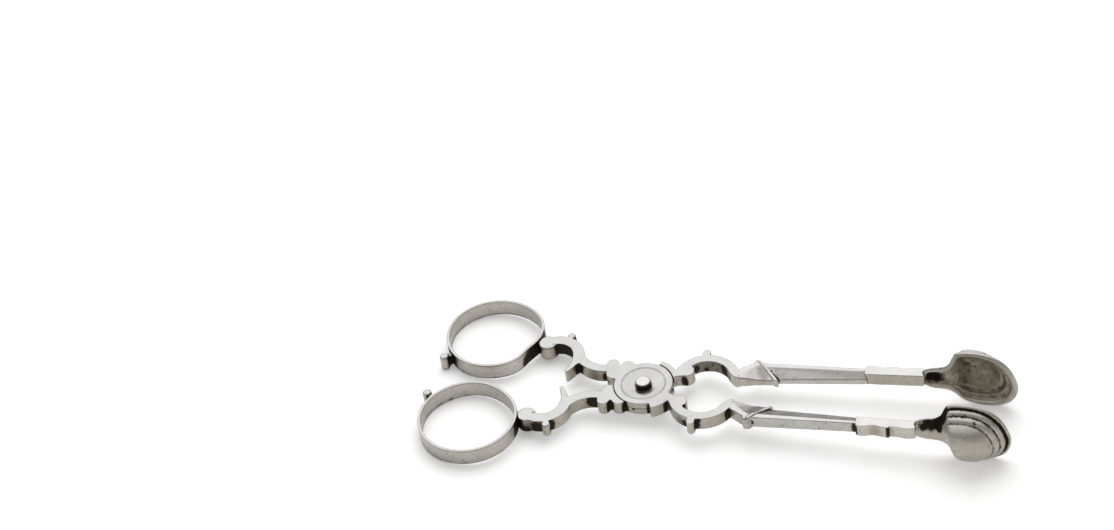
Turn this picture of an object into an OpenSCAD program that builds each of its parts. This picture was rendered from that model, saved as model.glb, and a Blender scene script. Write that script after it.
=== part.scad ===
// Georgian scissor-action sugar nippers in cast silver, millimetres.
// Seen in plan the two arms mirror each other across the X axis. They cross at a
// half-lap pivot on the Z axis: finger rings towards -X, bowls towards +X.
// Every arm part is drawn once, for the arm whose part lies at +Y.

/* [Scrollwork] */
// Thickness of the cast scrollwork
plate_t = 3.1; // [2.4:0.1:4]
// Radius that softens the ends of knobs and buds
knob_soft = 0.35; // [0.1:0.05:0.6]

/* [Pivot] */
// Radius of the round half-lap discs
disc_r = 6.3; // [5.5:0.1:7]
// Radial gap between a disc and the other arm's shoulders
disc_gap = 0.15; // [0.1:0.05:0.3]
// Gap between the two discs where they slide on each other
seam_gap = 0.1; // [0.04:0.02:0.2]
// Radius of the turned groove on the upper disc
groove_r = 4.86; // [4:0.1:5.5]
// Radius of the rivet's shank
rivet_r = 1.0; // [0.7:0.05:1.3]
// Radial running clearance of the rivet in the lower disc
rivet_fit = 0.05; // [0.02:0.01:0.1]
// Radius of the rivet's button head
button_r = 1.6; // [1.4:0.05:2]
// Height of the button head above the disc's rim
button_h = 0.8; // [0.3:0.1:1.2]

/* [Finger rings] */
// Outer radius of a finger ring
ring_r = 10.6; // [9.8:0.1:10.8]
// Thickness of the ring's band
ring_wall = 0.65; // [0.5:0.05:1]
// Height of the ring's band
ring_h = 3.8; // [3:0.1:4.2]
// Distance of the ring centres behind the pivot
ring_x = 35.5; // [34.5:0.1:36.5]
// Distance of each ring centre from the middle line
ring_y = 13.0; // [12.9:0.1:14]
// Radius of the bud on the ring
bud_r = 0.9; // [0.7:0.05:1]
// Distance of the bud's centre from the ring's outer face
bud_reach = 1.9; // [1.3:0.1:2.4]
// Direction of the upper arm's bud from its ring's centre, in degrees
upper_bud_dir = 220; // [205:1:230]
// Direction of the lower arm's bud, before that arm is mirrored
lower_bud_dir = 212; // [205:1:230]

/* [Handle scroll] */
// Inner radius of the C-shaped scroll
hook_r = 3.6; // [3.2:0.1:4]
// Width of the scroll's band
hook_w = 2.4; // [1.8:0.1:2.6]
// Radius of the round knob that meets the ring
knob_r = 2.0; // [1.7:0.05:2.2]
// Width of the stem that runs to the pivot
stem_w = 2.1; // [1.8:0.1:2.4]

/* [Jaw scroll] */
// Inner radius of the C-shaped scroll
jaw_r = 5.1; // [4.8:0.1:5.3]
// Width of the scroll's band
jaw_w = 1.95; // [1.6:0.1:2.2]
// Radius of the rounded eye at the scroll's start
eye_r = 1.65; // [1.4:0.05:1.8]

/* [Shank and socket] */
// Where the socket starts, from the pivot
socket_x = 46.2; // [45:0.1:47]
// Length of the moulded socket
socket_l = 12.3; // [11:0.1:13]
// Height of the socket
socket_h = 3.0; // [2.8:0.1:3.2]

/* [Bowl] */
// Distance of the bowl's rim from the middle line
rim_y = 7.25; // [7:0.05:7.5]
// Deepest hollow of the bowl, measured to its outside
bowl_depth = 6.3; // [5.5:0.1:6.6]
// Depth of the channel in the bowl's neck, to its outside
neck_depth = 1.95; // [1.7:0.05:2.2]

/* [Hidden] */

silver = [0.80, 0.79, 0.76];
dull_silver = [0.62, 0.60, 0.57];
$fn = 96;
half_t = plate_t / 2;
recess_r = disc_r + disc_gap;
// Floor of the dished field, on which the rivet's button sits
field_z = half_t - 0.5;
over = 1;

// Planes where the cast sections are soldered to each other
stem_joint_x = -9.0;
jaw_joint_r = 7.4;
calyx_joint_x = 19.6;
neck_x = socket_x + socket_l;

// Centres of the arcs of the handle scroll
hook_c = [-20.4, 7.1];
stem_c = [-9.5, 10.9];
stem_r = 5.85;
knob_dir = -9.2;
knob_c = [-ring_x, ring_y] + (ring_r + knob_r - 0.1) * [cos(knob_dir), sin(knob_dir)];

// Centres of the arcs of the jaw scroll
jaw_c = [13.1, 2.6];
eye_c = [8.5, 4.6];

// Catmull-Rom curve through hand-placed points, each span cut into n steps
function spline_at(a, b, c, d, t) =
    0.5 * (2 * b + (c - a) * t + (2 * a - 5 * b + 4 * c - d) * t * t
        + (3 * b - a - 3 * c + d) * t * t * t);
function closed_curve(p, n) = let (m = len(p))
    [for (i = [0:m - 1], k = [0:n - 1])
        spline_at(p[(i + m - 1) % m], p[i], p[(i + 1) % m], p[(i + 2) % m], k / n)];
function open_curve(p, n) = let (m = len(p)) concat(
    [for (i = [0:m - 2], k = [0:n - 1])
        spline_at(p[max(i - 1, 0)], p[i], p[i + 1], p[min(i + 2, m - 1)], k / n)],
    [p[m - 1]]);

// A flat casting of the full thickness, from its outline
module plate() {
    linear_extrude(plate_t, center = true) children();
}

// Part of a flat ring about c, from radius r0 to r1, between two directions
module arc_band(c, r0, r1, from, to) {
    reach = 2 * r1;
    translate(c) intersection() {
        difference() {
            circle(r1);
            circle(r0);
        }
        polygon(concat([[0, 0]],
            [for (k = [0:6]) let (a = from + (to - from) * k / 6) reach * [cos(a), sin(a)]]));
    }
}

// A round post with softened ends
module post(r, h) {
    s = knob_soft;
    rotate_extrude() polygon(concat([[0, -h / 2]],
        [for (k = [0:4]) let (a = -90 + 22.5 * k) [r - s + s * cos(a), -h / 2 + s + s * sin(a)]],
        [for (k = [0:4]) let (a = 22.5 * k) [r - s + s * cos(a), h / 2 - s + s * sin(a)]],
        [[0, h / 2]]));
}

// Solid through a row of cross-sections that have the same number of points
module loft(rows) {
    m = len(rows);
    n = len(rows[0]);
    points = [for (row = rows, p = row) p];
    sides = [for (j = [0:m - 2], i = [0:n - 1]) let (a = j * n, b = a + n, k = (i + 1) % n)
        each [[a + i, b + i, b + k], [a + i, b + k, a + k]]];
    ends = [[for (i = [0:n - 1]) i], [for (i = [0:n - 1]) m * n - 1 - i]];
    polyhedron(points, concat(sides, ends), convexity = 4);
}

// Finger ring: a plain strip bent round and soldered
module finger_ring() {
    soft = 0.15;
    translate([-ring_x, ring_y, 0]) rotate_extrude() polygon([
        [ring_r - ring_wall, -ring_h / 2], [ring_r - soft, -ring_h / 2],
        [ring_r, -ring_h / 2 + soft], [ring_r, ring_h / 2 - soft],
        [ring_r - soft, ring_h / 2], [ring_r - ring_wall, ring_h / 2]]);
}

module ring_outside() {
    translate([-ring_x, ring_y, 0]) cylinder(r = ring_r, h = 2 * ring_h, center = true);
}

// Upright bud on a short web, on the outer end of the ring
module ring_bud(dir) {
    web_w = 0.9;
    web_h = 0.7 * ring_h;
    bud_h = ring_h - 0.2;
    difference() {
        translate([-ring_x, ring_y, 0]) rotate([0, 0, dir]) {
            translate([ring_r + bud_reach, 0, 0]) post(bud_r, bud_h);
            translate([ring_r - 0.3, -web_w / 2, -web_h / 2]) cube([bud_reach, web_w, web_h]);
        }
        ring_outside();
    }
}

// Handle scroll: a C with a knob, a bud, a leaf that hooks inward, and a stem
module handle_scroll_outline() {
    hook_from = -6;
    hook_to = 120;
    arc_band(hook_c, hook_r, hook_r + hook_w, hook_from, hook_to);
    arc_band(stem_c, stem_r, stem_r + stem_w, 196, 276);
    polygon(concat(
        open_curve([[-16.7, 8.0], [-16.7, 6.4], [-16.8, 5.1], [-17.15, 3.8], [-17.65, 2.75]], 4),
        open_curve([[-17.5, 2.3], [-17.05, 2.35], [-16.15, 3.6], [-15.6, 4.6], [-15.0, 5.3],
            [-14.4, 6.6]], 3)));
}

module handle_scroll() {
    bud = [-18.4, 13.5];
    bud_post_r = 0.88;
    // The knob hangs a little below the flat of the scroll
    knob_drop = 0.45;
    difference() {
        union() {
            plate() intersection() {
                handle_scroll_outline();
                translate([stem_joint_x - 40, 0]) square([40, 40]);
            }
            translate([knob_c[0], knob_c[1], -knob_drop / 2]) post(knob_r, plate_t + knob_drop);
            translate(bud) post(bud_post_r, plate_t);
        }
        ring_outside();
        // Small drilled nick between the knob and the band
        translate(hook_c + (hook_r + 0.1) * [cos(112), sin(112)])
            cylinder(r = 0.22, h = 2 * plate_t, center = true, $fn = 24);
    }
}

// Ear of the pivot plate on the handle side, with two lobes on its outer edge
module handle_ear_outline() {
    difference() {
        union() {
            translate([-7.65, 5.5]) circle(1.32);
            translate([-4.35, 5.1]) circle(1.45);
            polygon(concat(
                open_curve([[-5.6, 0.9], [-6.9, 0.95], [-7.9, 1.35], [-8.45, 2.1], [-8.5, 3.0]], 3),
                [[stem_joint_x, 3.0], [stem_joint_x, 5.05], [-7.65, 5.5], [-6.0, 5.55],
                 [-4.35, 5.6], [-2.6, 5.6], [-3.0, 3.0]]));
        }
        translate([stem_joint_x - 5, 0]) square([5, 10]);
    }
}

// Shoulder of the pivot plate on the jaw side
module jaw_ear_outline() {
    arc_band([0, 0], disc_r - 1.5, jaw_joint_r, 21, 69);
}

module ears() {
    plate() handle_ear_outline();
    mirror([0, 1, 0]) plate() jaw_ear_outline();
}

// Full-thickness shoulders, cut away where the other arm's disc turns
module shoulders(other_level) {
    difference() {
        ears();
        translate([0, 0, other_level > 0 ? -seam_gap / 2 : -plate_t - over])
            cylinder(r = recess_r, h = plate_t + over + (other_level > 0 ? 0 : seam_gap / 2));
    }
}

// Upper disc: rim, turned groove and a field dished towards the rivet
module upper_disc() {
    groove_w = 0.3;
    groove_d = 0.22;
    soft = 0.12;
    rotate_extrude() polygon([
        [rivet_r, seam_gap / 2], [disc_r, seam_gap / 2], [disc_r, half_t - soft],
        [disc_r - soft, half_t], [groove_r, half_t], [groove_r - groove_w / 2, half_t - groove_d],
        [groove_r - groove_w, half_t - 0.08], [3.4, half_t - 0.22], [2.3, half_t - 0.42],
        [button_r, field_z], [rivet_r, field_z]]);
}

module lower_disc() {
    soft = 0.12;
    bore_r = rivet_r + rivet_fit;
    rotate_extrude() polygon([
        [bore_r, -seam_gap / 2], [disc_r, -seam_gap / 2], [disc_r, soft - half_t],
        [disc_r - soft, -half_t], [bore_r, -half_t]]);
}

// Rivet: button head in the dish, running shank, peened end below
module rivet() {
    head_z = half_t + button_h;
    peen_r = 1.55;
    peen_h = 0.35;
    peen_gap = 0.05;
    rotate_extrude() polygon([
        [0, -half_t - peen_gap - peen_h], [0.8, -half_t - peen_gap - peen_h],
        [peen_r, -half_t - peen_gap - 0.12], [peen_r, -half_t - peen_gap],
        [rivet_r, -half_t - peen_gap], [rivet_r, field_z], [button_r, field_z],
        [button_r, head_z - 0.25], [button_r - 0.1, head_z - 0.1],
        [button_r - 0.35, head_z], [0, head_z]]);
}

// Jaw scroll: a C with a rounded eye at the pivot and a post on its back
module jaw_scroll_outline() {
    post_x = 11.95;
    post_r = 0.8;
    arc_band(jaw_c, jaw_r, jaw_r + jaw_w, 24, 166);
    translate(eye_c) circle(eye_r);
    translate([post_x, 10.45]) circle(post_r);
    translate([post_x - post_r, 8.5]) square([2 * post_r, 1.95]);
    // Web from the eye to the shoulder of the pivot plate
    polygon([[6.2, 2.7], [8.3, 3.0], [8.6, 5.4], [6.9, 5.9], [6.15, 4.5], [5.4, 5.4]]);
    // Waist that runs into the calyx
    polygon(concat(open_curve([[17.3, 5.4], [18.1, 4.3], [18.8, 3.6], [19.6, 3.2]], 3),
        open_curve([[19.6, 5.85], [19.1, 6.05], [18.5, 6.75], [18.0, 7.5]], 3)));
}

module jaw_scroll() {
    difference() {
        plate() intersection() {
            jaw_scroll_outline();
            square([calyx_joint_x, 20]);
        }
        cylinder(r = jaw_joint_r, h = 2 * plate_t, center = true);
        // Small drilled nick where the eye leaves the band
        translate([9.75, 5.9, 0]) cylinder(r = 0.25, h = 2 * plate_t, center = true, $fn = 24);
    }
}

// Six-sided section of the arm: upright outer face, narrow flats on top and below,
// and facets that slope to the thinner inner edge, from edge_h down to low_h
function arm_section(x, outer, flat, inner, half_h, edge_h, low_h) = [
    [x, outer, -half_h], [x, outer, half_h], [x, flat, half_h],
    [x, inner, edge_h], [x, inner, low_h], [x, flat, -half_h]];

// The calyx ends on a slanting line across the arm
calyx_tip = [27.7, 4.4];
calyx_root = [24.2, 8.3];
calyx_turn = atan2(calyx_tip[1] - calyx_root[1], calyx_tip[0] - calyx_root[0]);

// Half space on the jaw side of the slanting line, moved by shift
module beyond_calyx(shift) {
    translate([calyx_root[0], calyx_root[1], 0]) rotate([0, 0, calyx_turn])
        translate([-30, shift, -10]) cube([60, 30, 20]);
}

module calyx_body(grow) {
    loft([
        arm_section(calyx_joint_x, 5.85 + grow, 3.8, 3.3 - grow, 1.5 + grow, 1.4 + grow, -1.4 - grow),
        arm_section(21.4, 7.15 + grow, 5.8, 3.6 - grow, 1.5 + grow, 1.0 + grow, -1.25 - grow),
        arm_section(23.4, 8.4 + grow, 7.4, 3.85 - grow, 1.5 + grow, 0.45 + grow, -1.1 - grow),
        arm_section(29.4, 8.4 + grow, 7.2, 4.1 - grow, 1.5 + grow, 0.3 + grow, -1.0 - grow)]);
}

// Calyx: the cast leaf that wraps the shank's root, with a raised edge and a bud
module calyx() {
    rib_w = 0.55;
    rib_h = 0.22;
    difference() {
        union() {
            calyx_body(0);
            translate([23.3, 8.25, 0]) post(0.78, 3.0);
            difference() {
                calyx_body(rib_h);
                beyond_calyx(-30 - rib_w);
            }
        }
        beyond_calyx(0);
    }
}

// Shank: a straight blade that tapers from the calyx to the socket
module shank() {
    intersection() {
        loft([
            arm_section(23, 8.2, 7.1, 4.1, 1.42, 0.15, -0.95),
            arm_section(socket_x, 8.2, 7.5, 5.6, 1.38, 0.48, -0.96)]);
        beyond_calyx(0);
    }
}

// Socket: moulded block with a waisted outer edge
module socket() {
    x = socket_x;
    l = socket_l;
    // Distance of the inner side from the middle line, at the shank and at the bowl
    shank_end_y = 6.3;
    bowl_end_y = 6.6;
    // The step in the moulding
    notch = 6.8;
    translate([0, 0, -socket_h / 2]) linear_extrude(socket_h) polygon(concat(
        open_curve([[x, 8.6], [x + 0.5, 8.9], [x + 1.5, 9.0], [x + 3.6, 8.6], [x + 5.6, 8.95],
            [x + notch, 9.1]], 4),
        open_curve([[x + notch + 0.1, 8.7], [x + 8.4, 8.7], [x + 10.2, 9.0], [x + 11.4, 8.95],
            [x + l, 8.75]], 4),
        [[x + l, bowl_end_y], [x, shank_end_y]]));
}

// Rim of neck and bowl in the upright plane: distance from the socket, height,
// and how far the point belongs to the bowl (1) or to the neck (0).
// The neck is let half a millimetre into the socket's end.
rim_points = [
    [-0.5, 0.2, 0], [-0.1, 2.0, 0], [1.4, 2.95, 0], [3.8, 3.35, 0], [5.2, 4.3, 0.05], [6.0, 6.1, 0.3],
    [6.9, 7.45, 1], [9.4, 7.8, 1], [12.8, 7.35, 1], [15.8, 5.8, 1], [18.1, 2.9, 1], [19.4, -1.3, 1],
    [18.5, -4.7, 1], [16.2, -6.4, 1], [13.2, -6.75, 1], [10.3, -6.4, 1], [8.0, -5.5, 1],
    [6.8, -4.3, 0.3], [5.5, -3.2, 0.05], [3.9, -2.75, 0], [1.6, -2.5, 0], [-0.1, -1.5, 0]];
rim_steps = 2;

// Steps of the wall from the rim inward, each as two pairs, one for the bowl and
// one for the neck: share of the way to the middle, share of the full depth
outer_steps = [
    [0, 0, 0, 0], [0, 0.14, 0, 0.26], [0.1, 0.15, 0.3, 0.28], [0.12, 0.3, 0.33, 0.46],
    [0.21, 0.34, 0.4, 0.62], [0.23, 0.5, 0.44, 0.72], [0.33, 0.56, 0.52, 0.82],
    [0.36, 0.67, 0.56, 0.87], [0.47, 0.85, 0.68, 0.93], [0.62, 0.95, 0.8, 0.97],
    [0.8, 1, 0.9, 1]];
inner_steps = [
    [0.82, 0.839, 0.92, 0.62], [0.66, 0.777, 0.84, 0.59], [0.51, 0.67, 0.74, 0.56],
    [0.4, 0.509, 0.64, 0.51], [0.37, 0.438, 0.6, 0.46], [0.27, 0.384, 0.54, 0.38],
    [0.25, 0.223, 0.48, 0.28], [0.15, 0.179, 0.4, 0.18], [0.12, 0, 0.34, 0]];
bowl_middle = [8.9, 0.1];
// The neck's walls draw in to this height, between these two distances
neck_middle = 0.25;
neck_span = [1.3, 6.4];
// The back of the bowl, up to heel_end, leans towards the neck as it gets deeper.
// The lean fades out below, between the heights heel_top and heel_foot.
heel_lean = 0.15;
heel_end = 12;
heel_blend = 4;
heel_top = -1.5;
heel_foot = -5.5;

function rim_goal(p) = (1 - p[2]) * [min(max(p[0], neck_span[0]), neck_span[1]), neck_middle]
    + p[2] * bowl_middle;
function share_between(v, from, to) = max(0, min(1, (v - from) / (to - from)));
function wall_point(p, s) = let (
        g = p[2],
        share = (1 - g) * s[2] + g * s[0],
        depth = (1 - g) * s[3] * neck_depth + g * s[1] * bowl_depth,
        heel = share_between(p[0], heel_end, heel_end - heel_blend)
            * share_between(p[1], heel_foot, heel_top),
        lean = g * heel_lean * depth * heel,
        q = (1 - share) * [p[0], p[1]] + share * rim_goal(p))
    [neck_x + q[0] - lean, rim_y + depth, q[1]];

// Bowl: one thin stepped shell with a half-round neck, open towards the other bowl
module bowl() {
    rim = closed_curve(rim_points, rim_steps);
    n = len(rim);
    steps = concat(outer_steps, inner_steps);
    m = len(steps);
    points = [for (s = steps, p = rim) wall_point(p, s)];
    // The last step of the outside and the first of the inside close across the middle
    o = (len(outer_steps) - 1) * n;
    i0 = len(outer_steps) * n;
    walls = [for (j = [0:m - 1]) if (j != len(outer_steps) - 1)
        for (i = [0:n - 1]) let (a = j * n, b = ((j + 1) % m) * n, k = (i + 1) % n)
            each [[a + i, b + i, b + k], [a + i, b + k, a + k]]];
    outside = [for (i = [0:n / 2 - 1]) let (k = (n - i) % n)
        each [if (i > 0) [o + i, o + k, o + i + 1],
            if (i < n / 2 - 1) [o + k, o + n - i - 1, o + i + 1]]];
    inside = [for (i = [0:n / 2 - 1]) let (k = (n - i) % n)
        each [if (i > 0) [i0 + i, i0 + i + 1, i0 + k],
            if (i < n / 2 - 1) [i0 + k, i0 + i + 1, i0 + n - i - 1]]];
    polyhedron(points, concat(walls, outside, inside), convexity = 8);
}

module upper_finger_ring() { color(silver) finger_ring(); }
module upper_ring_bud() { color(silver) ring_bud(upper_bud_dir); }
module upper_handle_scroll() { color(silver) handle_scroll(); }
module upper_jaw_scroll() { color(silver) mirror([0, 1, 0]) jaw_scroll(); }
module upper_calyx() { color(silver) mirror([0, 1, 0]) calyx(); }
module upper_shank() { color(silver) mirror([0, 1, 0]) shank(); }
module upper_socket() { color(silver) mirror([0, 1, 0]) socket(); }
module upper_bowl() { color(dull_silver) mirror([0, 1, 0]) bowl(); }
module upper_pivot_disc() {
    color(silver) {
        upper_disc();
        difference() {
            shoulders(-1);
            translate([0, 0, -over]) cylinder(r = disc_r - 0.4, h = plate_t + 2 * over);
        }
    }
}

module lower_finger_ring() { color(silver) mirror([0, 1, 0]) finger_ring(); }
module lower_ring_bud() { color(silver) mirror([0, 1, 0]) ring_bud(lower_bud_dir); }
module lower_handle_scroll() { color(silver) mirror([0, 1, 0]) handle_scroll(); }
module lower_jaw_scroll() { color(silver) jaw_scroll(); }
module lower_calyx() { color(silver) calyx(); }
module lower_shank() { color(silver) shank(); }
module lower_socket() { color(silver) socket(); }
module lower_bowl() { color(dull_silver) bowl(); }
module lower_pivot_disc() {
    color(silver) {
        lower_disc();
        difference() {
            mirror([0, 1, 0]) shoulders(1);
            translate([0, 0, -plate_t - over]) cylinder(r = disc_r - 0.4, h = plate_t + 2 * over);
        }
    }
}

module pivot_rivet() { color(silver) rivet(); }

upper_finger_ring();
upper_ring_bud();
upper_handle_scroll();
upper_pivot_disc();
upper_jaw_scroll();
upper_calyx();
upper_shank();
upper_socket();
upper_bowl();
lower_finger_ring();
lower_ring_bud();
lower_handle_scroll();
lower_pivot_disc();
lower_jaw_scroll();
lower_calyx();
lower_shank();
lower_socket();
lower_bowl();
pivot_rivet();
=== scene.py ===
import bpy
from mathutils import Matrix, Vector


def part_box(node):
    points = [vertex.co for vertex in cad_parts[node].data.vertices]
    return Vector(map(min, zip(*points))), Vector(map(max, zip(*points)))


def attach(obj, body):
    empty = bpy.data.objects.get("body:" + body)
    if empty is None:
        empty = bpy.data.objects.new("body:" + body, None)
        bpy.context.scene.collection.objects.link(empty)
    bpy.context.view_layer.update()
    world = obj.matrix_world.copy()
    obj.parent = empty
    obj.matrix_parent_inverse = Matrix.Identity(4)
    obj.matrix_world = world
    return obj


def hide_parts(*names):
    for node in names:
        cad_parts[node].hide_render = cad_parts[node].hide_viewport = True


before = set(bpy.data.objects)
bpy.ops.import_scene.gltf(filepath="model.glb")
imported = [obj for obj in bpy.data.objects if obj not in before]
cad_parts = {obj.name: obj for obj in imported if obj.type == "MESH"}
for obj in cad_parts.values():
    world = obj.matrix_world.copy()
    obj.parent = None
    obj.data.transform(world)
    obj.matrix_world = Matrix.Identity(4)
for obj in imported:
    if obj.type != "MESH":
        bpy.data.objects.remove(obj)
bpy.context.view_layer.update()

import math

import bpy
import numpy as np
from mathutils import Matrix, Vector

# Finger rings. Each is a strip of sheet silver, bent round on a mandrel and
# soldered shut. Its edges are eased with a file, its faces are worn and finely
# pitted, and black tarnish sits where the scroll's knob is soldered on.
MM = 0.001
# The side of the pivot, along Y, on which each arm has its ring; its bowl is on the other
RING_SIDE = {"upper": 1, "lower": -1}
RING_WALL = 0.65
# Radius of the eased edges, and the steps that each is rounded in
RING_EASE = 0.13
EASE_STEPS = 4
# Cuts round the band and up its tall faces
RING_CUTS = 240
FACE_CUTS = 10
RING_FLAT = (0.95, 0.945, 0.93)
RING_FACE = (0.47, 0.445, 0.41)
# Where the strip strays from round: direction, spread in degrees, outward shift.
# Below them, the slight ripple that bending left all round.
RING_BENDS = {
    "upper": [(331, 17, -0.8), (24, 24, 0.35), (92, 35, -0.3), (262, 50, 0.18)],
    "lower": [(50, 28, -0.3), (158, 45, 0.28)],
}
RIPPLES, RIPPLE_HEIGHT = 5, 0.03
# Where tarnish sits. This and every later list of spots holds their x, y, z and radius.
RING_BLACK = [
    (-25.4, 10.7, 0, 1.7), (-26.9, 8.6, -0.3, 1.6), (-28.1, 7.1, -0.7, 1.2),
    (-24.6, 14.1, 1.0, 0.9), (-25.0, 13.6, -0.3, 1.5), (-25.9, 14.9, -0.6, 0.9),
    (-43.4, 6.0, 0, 1.7), (-45.0, 7.6, 0, 1.4),
]
# A line of painted shade below each eased edge: its distance, darkness and width
SHADE_LINE_BELOW, SHADE_LINE_DARK, SHADE_LINE_WIDTH = 1.4 * RING_EASE, 0.9, 0.16


def mesh_piece(name, points, faces):
    """A smooth piece from points in millimetres, its faces looking outward."""
    mesh = bpy.data.meshes.new(name)
    mesh.from_pydata((np.asarray(points) * MM).tolist(), [], faces)
    mesh.shade_smooth()
    piece = bpy.data.objects.new(name, mesh)
    bpy.context.scene.collection.objects.link(piece)
    return piece


def points_of(mesh):
    """The mesh's vertices as an array, in millimetres."""
    flat = np.empty(len(mesh.vertices) * 3)
    mesh.vertices.foreach_get("co", flat)
    return flat.reshape(-1, 3) / MM


def mark(piece, name, amounts):
    """Stores an amount from 0 to 1 at each vertex, for the silver to read."""
    layer = piece.data.attributes.new(name, "FLOAT", "POINT")
    layer.data.foreach_set("value", np.clip(amounts, 0, 1).astype(np.float32))


# A spot reaches further up and down a wall than along it, is this dense in its middle
# and fades this fast towards its radius
SPOT_SHAPE, SPOT_DENSITY, SPOT_FADE = (1, 1, 0.6), 0.95, 1.4


def gathered(points, spots, side=1):
    """How far spots cover points, from 0 to 1; they are listed for +Y, and side -1 mirrors them."""
    bare = np.ones(len(points))
    for x, y, z, radius in spots:
        away = np.linalg.norm((points - (x, side * y, z)) * SPOT_SHAPE, axis=1) / radius
        bare *= 1 - SPOT_DENSITY * np.exp(-SPOT_FADE * away**3)
    return 1 - bare


def stripe(away, width):
    """A soft stripe, 1 where away is 0."""
    return np.exp(-((away / width) ** 2))


def new_material(name):
    """A node material, its tree and its shader."""
    material = bpy.data.materials.new(name)
    material.use_nodes = True
    return material, material.node_tree, material.node_tree.nodes["Principled BSDF"]


def feed(tree, socket, value):
    """Links another node's output to a socket, or sets the socket to a number or colour."""
    if isinstance(value, bpy.types.NodeSocket):
        tree.links.new(value, socket)
    elif isinstance(value, tuple):
        socket.default_value = (*value, 1)
    else:
        socket.default_value = value


def mixed(tree, share, under, over):
    """The colour under, covered by the colour over as far as share says."""
    mix = tree.nodes.new("ShaderNodeMix")
    mix.data_type = "RGBA"
    # Of the node's sockets, 6 and 7 take colours and 2 gives one
    for place, value in ((0, share), (6, under), (7, over)):
        feed(tree, mix.inputs[place], value)
    return mix.outputs[2]


def between(tree, value, low, high, start=0.0, end=1.0):
    """Eases from start to end as the value goes from low to high."""
    ease = tree.nodes.new("ShaderNodeMapRange")
    ease.interpolation_type = "SMOOTHSTEP"
    given = {"Value": value, "From Min": low, "From Max": high, "To Min": start, "To Max": end}
    for name, amount in given.items():
        feed(tree, ease.inputs[name], amount)
    return ease.outputs["Result"]


def sums(tree, kind, first, second=0.0):
    """One step of arithmetic."""
    step = tree.nodes.new("ShaderNodeMath")
    step.operation = kind
    feed(tree, step.inputs[0], first)
    feed(tree, step.inputs[1], second)
    return step.outputs[0]


# Colours that all the silver shares, from its rubbed edges and painted highlights to the black in
# its corners
RUBBED_AND_HIGHLIGHT = (0.97, 0.965, 0.95)
TARNISH = (0.44, 0.40, 0.34)
FLECK = (0.22, 0.195, 0.16)
FRINGE = (0.115, 0.092, 0.068)
BLACK_THICK = (0.010, 0.008, 0.006)
BLACK_THIN = (0.060, 0.048, 0.036)
# Sizes of its markings: clouds of tarnish, mottling, cells of the skin with a pin hole and the
# unevenness of the hole's edge, the black crust's outline in broad and in fine, patches of
# finer and coarser polish, and the waves and ripples left by the file
CLOUD, MOTTLE, HOLE_CELL, HOLE_EDGE = 4.5, 0.7, 1.3, 0.3
CRUST, CRUST_EDGE, POLISH, WAVE, FILE_RIPPLE = 1.1, 0.35, 2.6, 3.6, 1.2
# Height of the relief and how plainly it shows
RELIEF, RELIEF_SHOWS = 0.09, 0.7


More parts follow.
